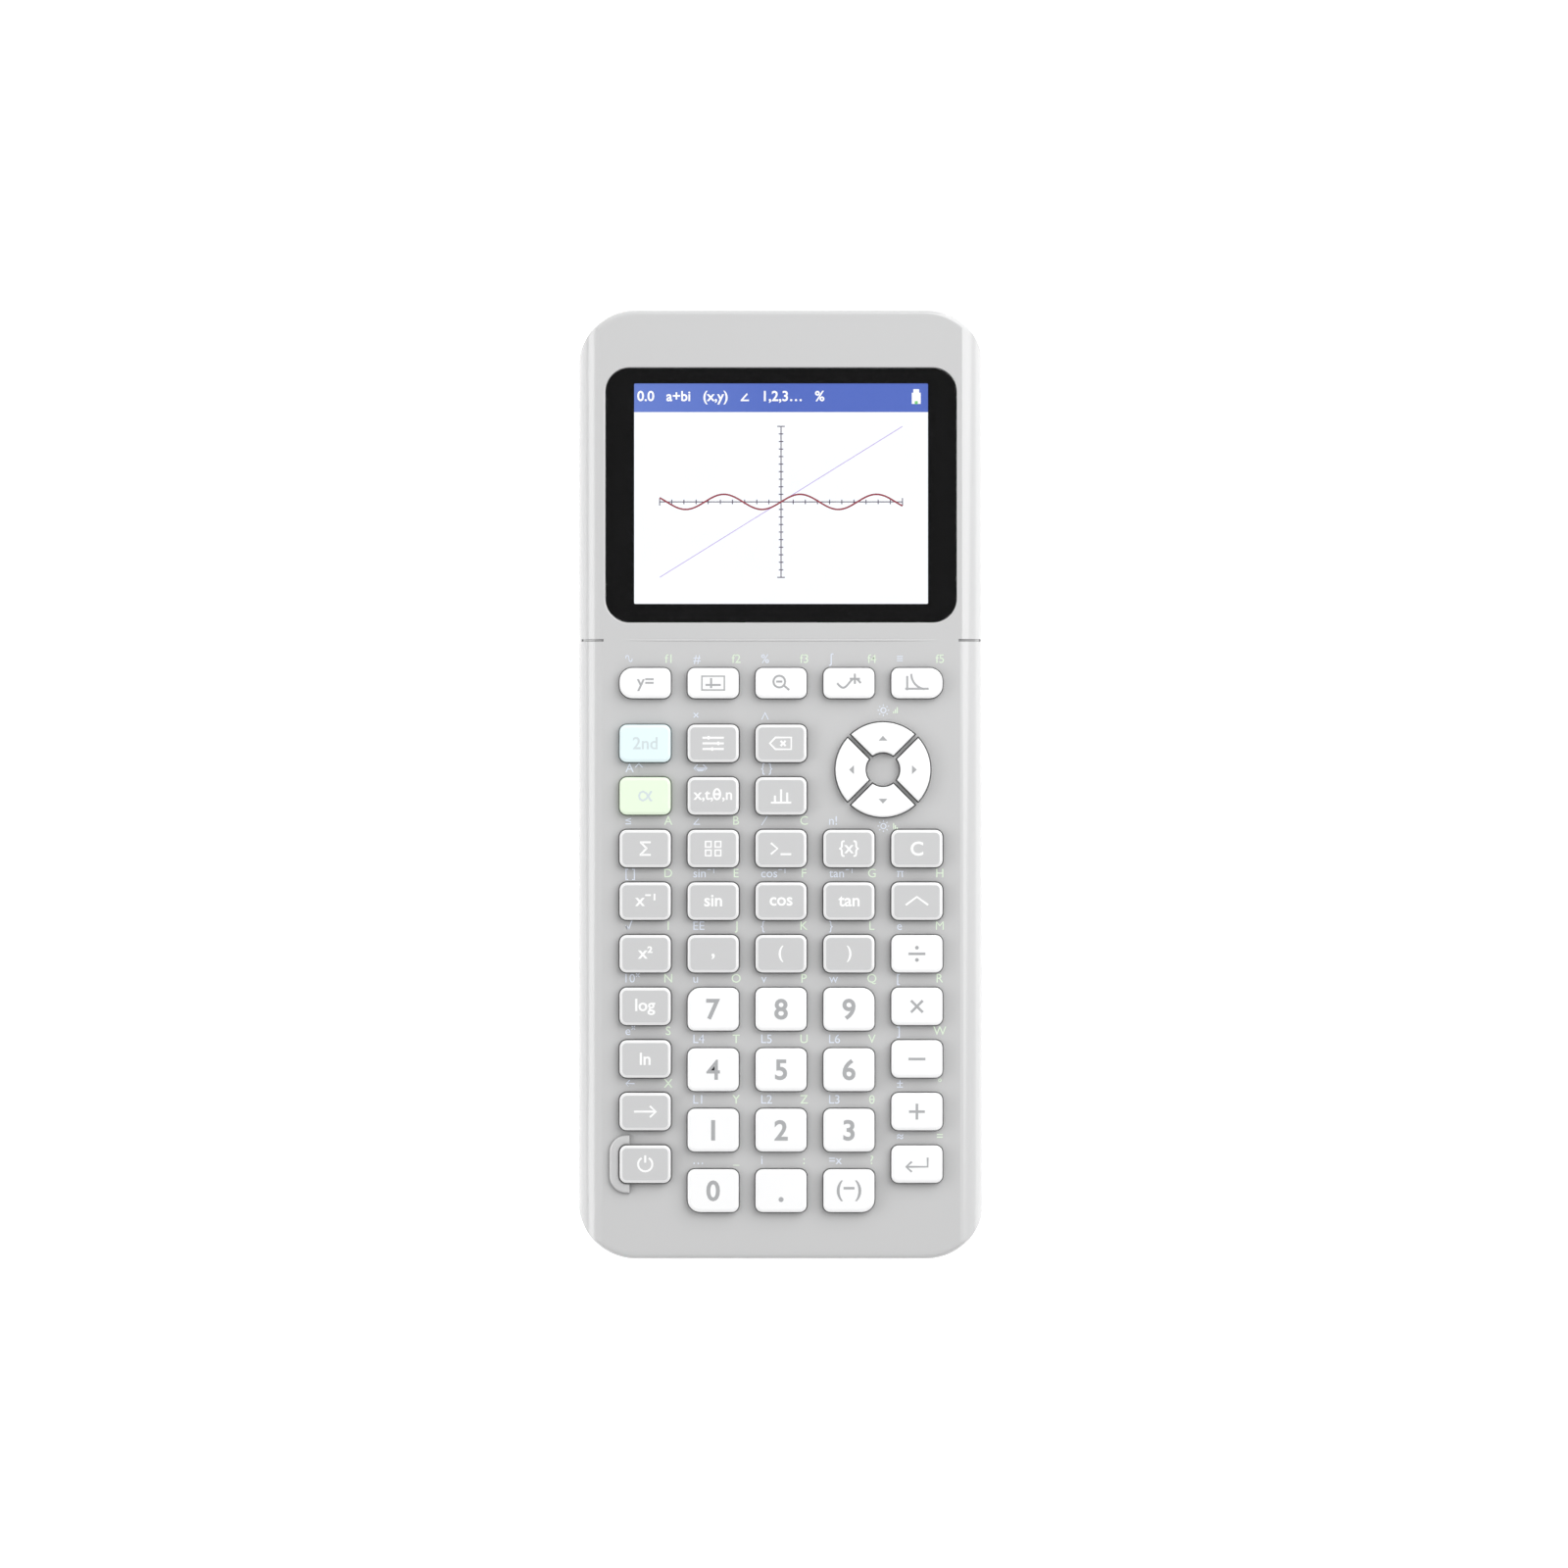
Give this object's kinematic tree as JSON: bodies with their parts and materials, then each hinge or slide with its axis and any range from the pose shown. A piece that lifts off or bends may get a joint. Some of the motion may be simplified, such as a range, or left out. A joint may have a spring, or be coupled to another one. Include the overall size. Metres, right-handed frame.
{
  "type": "graphing calculator",
  "caption": "Slim handheld graphing calculator with a colour display, sprung keys in a grid, a ring of arrow keys and a battery bay behind a swinging cover.",
  "frame": {"origin": "middle of the outline, at the table under the feet", "axes": "+X to the right of the keypad, +Y towards the display end, +Z out of the keys, with the calculator lying on its back"},
  "size_m": [0.0794, 0.186, 0.0163],
  "materials": {
    "case_white": "smooth semi-gloss white moulding",
    "window_black": "polished clear pane with a black border printed behind it",
    "display_frame": "plain pressed frame round a matt glass panel",
    "mat_rubber": "matt silicone",
    "board_green": "solder-masked laminate",
    "battery_wrap": "matt wrap",
    "screw_steel": "dark plated",
    "feet_rubber": "matt",
    "key_white": "glossy white key cap",
    "key_grey": "glossy silver-grey key cap",
    "key_pale_blue": "glossy key cap with a faint blue tint",
    "key_pale_green": "glossy key cap with a faint green tint"
  },
  "bodies": {
    "calculator": {"front_case": "case_white", "rear_case": "case_white", "screen_window": "window_black", "display_module": "display_frame", "key_mat": "mat_rubber", "circuit_board": "board_green", "battery_pack": "battery_wrap", "case_screws": "screw_steel", "rubber_feet": "feet_rubber"},
    "battery_cover": {"battery_cover": "case_white"},
    "key_function": {"key_function": "key_white"},
    "key_window": {"key_window": "key_white"},
    "key_zoom": {"key_zoom": "key_white"},
    "key_trace": {"key_trace": "key_white"},
    "key_graph": {"key_graph": "key_white"},
    "key_second": {"key_second": "key_pale_blue"},
    "key_mode": {"key_mode": "key_grey"},
    "key_delete": {"key_delete": "key_grey"},
    "key_alpha": {"key_alpha": "key_pale_green"},
    "key_unknown": {"key_unknown": "key_grey"},
    "key_statistics": {"key_statistics": "key_grey"},
    "key_math": {"key_math": "key_grey"},
    "key_apps": {"key_apps": "key_grey"},
    "key_program": {"key_program": "key_grey"},
    "key_variables": {"key_variables": "key_grey"},
    "key_clear": {"key_clear": "key_grey"},
    "key_reciprocal": {"key_reciprocal": "key_grey"},
    "key_sine": {"key_sine": "key_grey"},
    "key_cosine": {"key_cosine": "key_grey"},
    "key_tangent": {"key_tangent": "key_grey"},
    "key_power_of": {"key_power_of": "key_grey"},
    "key_square": {"key_square": "key_grey"},
    "key_comma": {"key_comma": "key_grey"},
    "key_bracket_open": {"key_bracket_open": "key_grey"},
    "key_bracket_close": {"key_bracket_close": "key_grey"},
    "key_divide": {"key_divide": "key_white"},
    "key_log": {"key_log": "key_grey"},
    "key_7": {"key_7": "key_white"},
    "key_8": {"key_8": "key_white"},
    "key_9": {"key_9": "key_white"},
    "key_multiply": {"key_multiply": "key_white"},
    "key_ln": {"key_ln": "key_grey"},
    "key_4": {"key_4": "key_white"},
    "key_5": {"key_5": "key_white"},
    "key_6": {"key_6": "key_white"},
    "key_subtract": {"key_subtract": "key_white"},
    "key_store": {"key_store": "key_grey"},
    "key_1": {"key_1": "key_white"},
    "key_2": {"key_2": "key_white"},
    "key_3": {"key_3": "key_white"},
    "key_add": {"key_add": "key_white"},
    "key_on": {"key_on": "key_grey"},
    "key_0": {"key_0": "key_white"},
    "key_point": {"key_point": "key_white"},
    "key_negative": {"key_negative": "key_white"},
    "key_enter": {"key_enter": "key_white"},
    "key_right": {"key_right": "key_white"},
    "key_up": {"key_up": "key_white"},
    "key_left": {"key_left": "key_white"},
    "key_down": {"key_down": "key_white"}
  },
  "joints": [
    {"name": "battery_cover_swing", "type": "hinge", "parent": "calculator", "child": "battery_cover", "pos_m": [0, 0.0227, 0.0026], "axis": [1, 0, 0], "range_deg": [0, 60]},
    {"name": "key_function_press", "type": "slide", "parent": "calculator", "child": "key_function", "axis": [0, 0, -1], "range_m": [0, 0.0008], "stiffness_N_per_m": 1000, "deforming": ["key_mat"]},
    {"name": "key_window_press", "type": "slide", "parent": "calculator", "child": "key_window", "axis": [0, 0, -1], "range_m": [0, 0.0008], "stiffness_N_per_m": 1000, "deforming": ["key_mat"]},
    {"name": "key_zoom_press", "type": "slide", "parent": "calculator", "child": "key_zoom", "axis": [0, 0, -1], "range_m": [0, 0.0008], "stiffness_N_per_m": 1000, "deforming": ["key_mat"]},
    {"name": "key_trace_press", "type": "slide", "parent": "calculator", "child": "key_trace", "axis": [0, 0, -1], "range_m": [0, 0.0008], "stiffness_N_per_m": 1000, "deforming": ["key_mat"]},
    {"name": "key_graph_press", "type": "slide", "parent": "calculator", "child": "key_graph", "axis": [0, 0, -1], "range_m": [0, 0.0008], "stiffness_N_per_m": 1000, "deforming": ["key_mat"]},
    {"name": "key_second_press", "type": "slide", "parent": "calculator", "child": "key_second", "axis": [0, 0, -1], "range_m": [0, 0.0008], "stiffness_N_per_m": 1000, "deforming": ["key_mat"]},
    {"name": "key_mode_press", "type": "slide", "parent": "calculator", "child": "key_mode", "axis": [0, 0, -1], "range_m": [0, 0.0008], "stiffness_N_per_m": 1000, "deforming": ["key_mat"]},
    {"name": "key_delete_press", "type": "slide", "parent": "calculator", "child": "key_delete", "axis": [0, 0, -1], "range_m": [0, 0.0008], "stiffness_N_per_m": 1000, "deforming": ["key_mat"]},
    {"name": "key_alpha_press", "type": "slide", "parent": "calculator", "child": "key_alpha", "axis": [0, 0, -1], "range_m": [0, 0.0008], "stiffness_N_per_m": 1000, "deforming": ["key_mat"]},
    {"name": "key_unknown_press", "type": "slide", "parent": "calculator", "child": "key_unknown", "axis": [0, 0, -1], "range_m": [0, 0.0008], "stiffness_N_per_m": 1000, "deforming": ["key_mat"]},
    {"name": "key_statistics_press", "type": "slide", "parent": "calculator", "child": "key_statistics", "axis": [0, 0, -1], "range_m": [0, 0.0008], "stiffness_N_per_m": 1000, "deforming": ["key_mat"]},
    {"name": "key_math_press", "type": "slide", "parent": "calculator", "child": "key_math", "axis": [0, 0, -1], "range_m": [0, 0.0008], "stiffness_N_per_m": 1000, "deforming": ["key_mat"]},
    {"name": "key_apps_press", "type": "slide", "parent": "calculator", "child": "key_apps", "axis": [0, 0, -1], "range_m": [0, 0.0008], "stiffness_N_per_m": 1000, "deforming": ["key_mat"]},
    {"name": "key_program_press", "type": "slide", "parent": "calculator", "child": "key_program", "axis": [0, 0, -1], "range_m": [0, 0.0008], "stiffness_N_per_m": 1000, "deforming": ["key_mat"]},
    {"name": "key_variables_press", "type": "slide", "parent": "calculator", "child": "key_variables", "axis": [0, 0, -1], "range_m": [0, 0.0008], "stiffness_N_per_m": 1000, "deforming": ["key_mat"]},
    {"name": "key_clear_press", "type": "slide", "parent": "calculator", "child": "key_clear", "axis": [0, 0, -1], "range_m": [0, 0.0008], "stiffness_N_per_m": 1000, "deforming": ["key_mat"]},
    {"name": "key_reciprocal_press", "type": "slide", "parent": "calculator", "child": "key_reciprocal", "axis": [0, 0, -1], "range_m": [0, 0.0008], "stiffness_N_per_m": 1000, "deforming": ["key_mat"]},
    {"name": "key_sine_press", "type": "slide", "parent": "calculator", "child": "key_sine", "axis": [0, 0, -1], "range_m": [0, 0.0008], "stiffness_N_per_m": 1000, "deforming": ["key_mat"]},
    {"name": "key_cosine_press", "type": "slide", "parent": "calculator", "child": "key_cosine", "axis": [0, 0, -1], "range_m": [0, 0.0008], "stiffness_N_per_m": 1000, "deforming": ["key_mat"]},
    {"name": "key_tangent_press", "type": "slide", "parent": "calculator", "child": "key_tangent", "axis": [0, 0, -1], "range_m": [0, 0.0008], "stiffness_N_per_m": 1000, "deforming": ["key_mat"]},
    {"name": "key_power_of_press", "type": "slide", "parent": "calculator", "child": "key_power_of", "axis": [0, 0, -1], "range_m": [0, 0.0008], "stiffness_N_per_m": 1000, "deforming": ["key_mat"]},
    {"name": "key_square_press", "type": "slide", "parent": "calculator", "child": "key_square", "axis": [0, 0, -1], "range_m": [0, 0.0008], "stiffness_N_per_m": 1000, "deforming": ["key_mat"]},
    {"name": "key_comma_press", "type": "slide", "parent": "calculator", "child": "key_comma", "axis": [0, 0, -1], "range_m": [0, 0.0008], "stiffness_N_per_m": 1000, "deforming": ["key_mat"]},
    {"name": "key_bracket_open_press", "type": "slide", "parent": "calculator", "child": "key_bracket_open", "axis": [0, 0, -1], "range_m": [0, 0.0008], "stiffness_N_per_m": 1000, "deforming": ["key_mat"]},
    {"name": "key_bracket_close_press", "type": "slide", "parent": "calculator", "child": "key_bracket_close", "axis": [0, 0, -1], "range_m": [0, 0.0008], "stiffness_N_per_m": 1000, "deforming": ["key_mat"]},
    {"name": "key_divide_press", "type": "slide", "parent": "calculator", "child": "key_divide", "axis": [0, 0, -1], "range_m": [0, 0.0008], "stiffness_N_per_m": 1000, "deforming": ["key_mat"]},
    {"name": "key_log_press", "type": "slide", "parent": "calculator", "child": "key_log", "axis": [0, 0, -1], "range_m": [0, 0.0008], "stiffness_N_per_m": 1000, "deforming": ["key_mat"]},
    {"name": "key_7_press", "type": "slide", "parent": "calculator", "child": "key_7", "axis": [0, 0, -1], "range_m": [0, 0.0008], "stiffness_N_per_m": 1000, "deforming": ["key_mat"]},
    {"name": "key_8_press", "type": "slide", "parent": "calculator", "child": "key_8", "axis": [0, 0, -1], "range_m": [0, 0.0008], "stiffness_N_per_m": 1000, "deforming": ["key_mat"]},
    {"name": "key_9_press", "type": "slide", "parent": "calculator", "child": "key_9", "axis": [0, 0, -1], "range_m": [0, 0.0008], "stiffness_N_per_m": 1000, "deforming": ["key_mat"]},
    {"name": "key_multiply_press", "type": "slide", "parent": "calculator", "child": "key_multiply", "axis": [0, 0, -1], "range_m": [0, 0.0008], "stiffness_N_per_m": 1000, "deforming": ["key_mat"]},
    {"name": "key_ln_press", "type": "slide", "parent": "calculator", "child": "key_ln", "axis": [0, 0, -1], "range_m": [0, 0.0008], "stiffness_N_per_m": 1000, "deforming": ["key_mat"]},
    {"name": "key_4_press", "type": "slide", "parent": "calculator", "child": "key_4", "axis": [0, 0, -1], "range_m": [0, 0.0008], "stiffness_N_per_m": 1000, "deforming": ["key_mat"]},
    {"name": "key_5_press", "type": "slide", "parent": "calculator", "child": "key_5", "axis": [0, 0, -1], "range_m": [0, 0.0008], "stiffness_N_per_m": 1000, "deforming": ["key_mat"]},
    {"name": "key_6_press", "type": "slide", "parent": "calculator", "child": "key_6", "axis": [0, 0, -1], "range_m": [0, 0.0008], "stiffness_N_per_m": 1000, "deforming": ["key_mat"]},
    {"name": "key_subtract_press", "type": "slide", "parent": "calculator", "child": "key_subtract", "axis": [0, 0, -1], "range_m": [0, 0.0008], "stiffness_N_per_m": 1000, "deforming": ["key_mat"]},
    {"name": "key_store_press", "type": "slide", "parent": "calculator", "child": "key_store", "axis": [0, 0, -1], "range_m": [0, 0.0008], "stiffness_N_per_m": 1000, "deforming": ["key_mat"]},
    {"name": "key_1_press", "type": "slide", "parent": "calculator", "child": "key_1", "axis": [0, 0, -1], "range_m": [0, 0.0008], "stiffness_N_per_m": 1000, "deforming": ["key_mat"]},
    {"name": "key_2_press", "type": "slide", "parent": "calculator", "child": "key_2", "axis": [0, 0, -1], "range_m": [0, 0.0008], "stiffness_N_per_m": 1000, "deforming": ["key_mat"]},
    {"name": "key_3_press", "type": "slide", "parent": "calculator", "child": "key_3", "axis": [0, 0, -1], "range_m": [0, 0.0008], "stiffness_N_per_m": 1000, "deforming": ["key_mat"]},
    {"name": "key_add_press", "type": "slide", "parent": "calculator", "child": "key_add", "axis": [0, 0, -1], "range_m": [0, 0.0008], "stiffness_N_per_m": 1000, "deforming": ["key_mat"]},
    {"name": "key_on_press", "type": "slide", "parent": "calculator", "child": "key_on", "axis": [0, 0, -1], "range_m": [0, 0.0008], "stiffness_N_per_m": 1000, "deforming": ["key_mat"]},
    {"name": "key_0_press", "type": "slide", "parent": "calculator", "child": "key_0", "axis": [0, 0, -1], "range_m": [0, 0.0008], "stiffness_N_per_m": 1000, "deforming": ["key_mat"]},
    {"name": "key_point_press", "type": "slide", "parent": "calculator", "child": "key_point", "axis": [0, 0, -1], "range_m": [0, 0.0008], "stiffness_N_per_m": 1000, "deforming": ["key_mat"]},
    {"name": "key_negative_press", "type": "slide", "parent": "calculator", "child": "key_negative", "axis": [0, 0, -1], "range_m": [0, 0.0008], "stiffness_N_per_m": 1000, "deforming": ["key_mat"]},
    {"name": "key_enter_press", "type": "slide", "parent": "calculator", "child": "key_enter", "axis": [0, 0, -1], "range_m": [0, 0.0008], "stiffness_N_per_m": 1000, "deforming": ["key_mat"]},
    {"name": "key_right_press", "type": "slide", "parent": "calculator", "child": "key_right", "axis": [0, 0, -1], "range_m": [0, 0.0008], "stiffness_N_per_m": 1000, "deforming": ["key_mat"]},
    {"name": "key_up_press", "type": "slide", "parent": "calculator", "child": "key_up", "axis": [0, 0, -1], "range_m": [0, 0.0008], "stiffness_N_per_m": 1000, "deforming": ["key_mat"]},
    {"name": "key_left_press", "type": "slide", "parent": "calculator", "child": "key_left", "axis": [0, 0, -1], "range_m": [0, 0.0008], "stiffness_N_per_m": 1000, "deforming": ["key_mat"]},
    {"name": "key_down_press", "type": "slide", "parent": "calculator", "child": "key_down", "axis": [0, 0, -1], "range_m": [0, 0.0008], "stiffness_N_per_m": 1000, "deforming": ["key_mat"]}
  ]
}
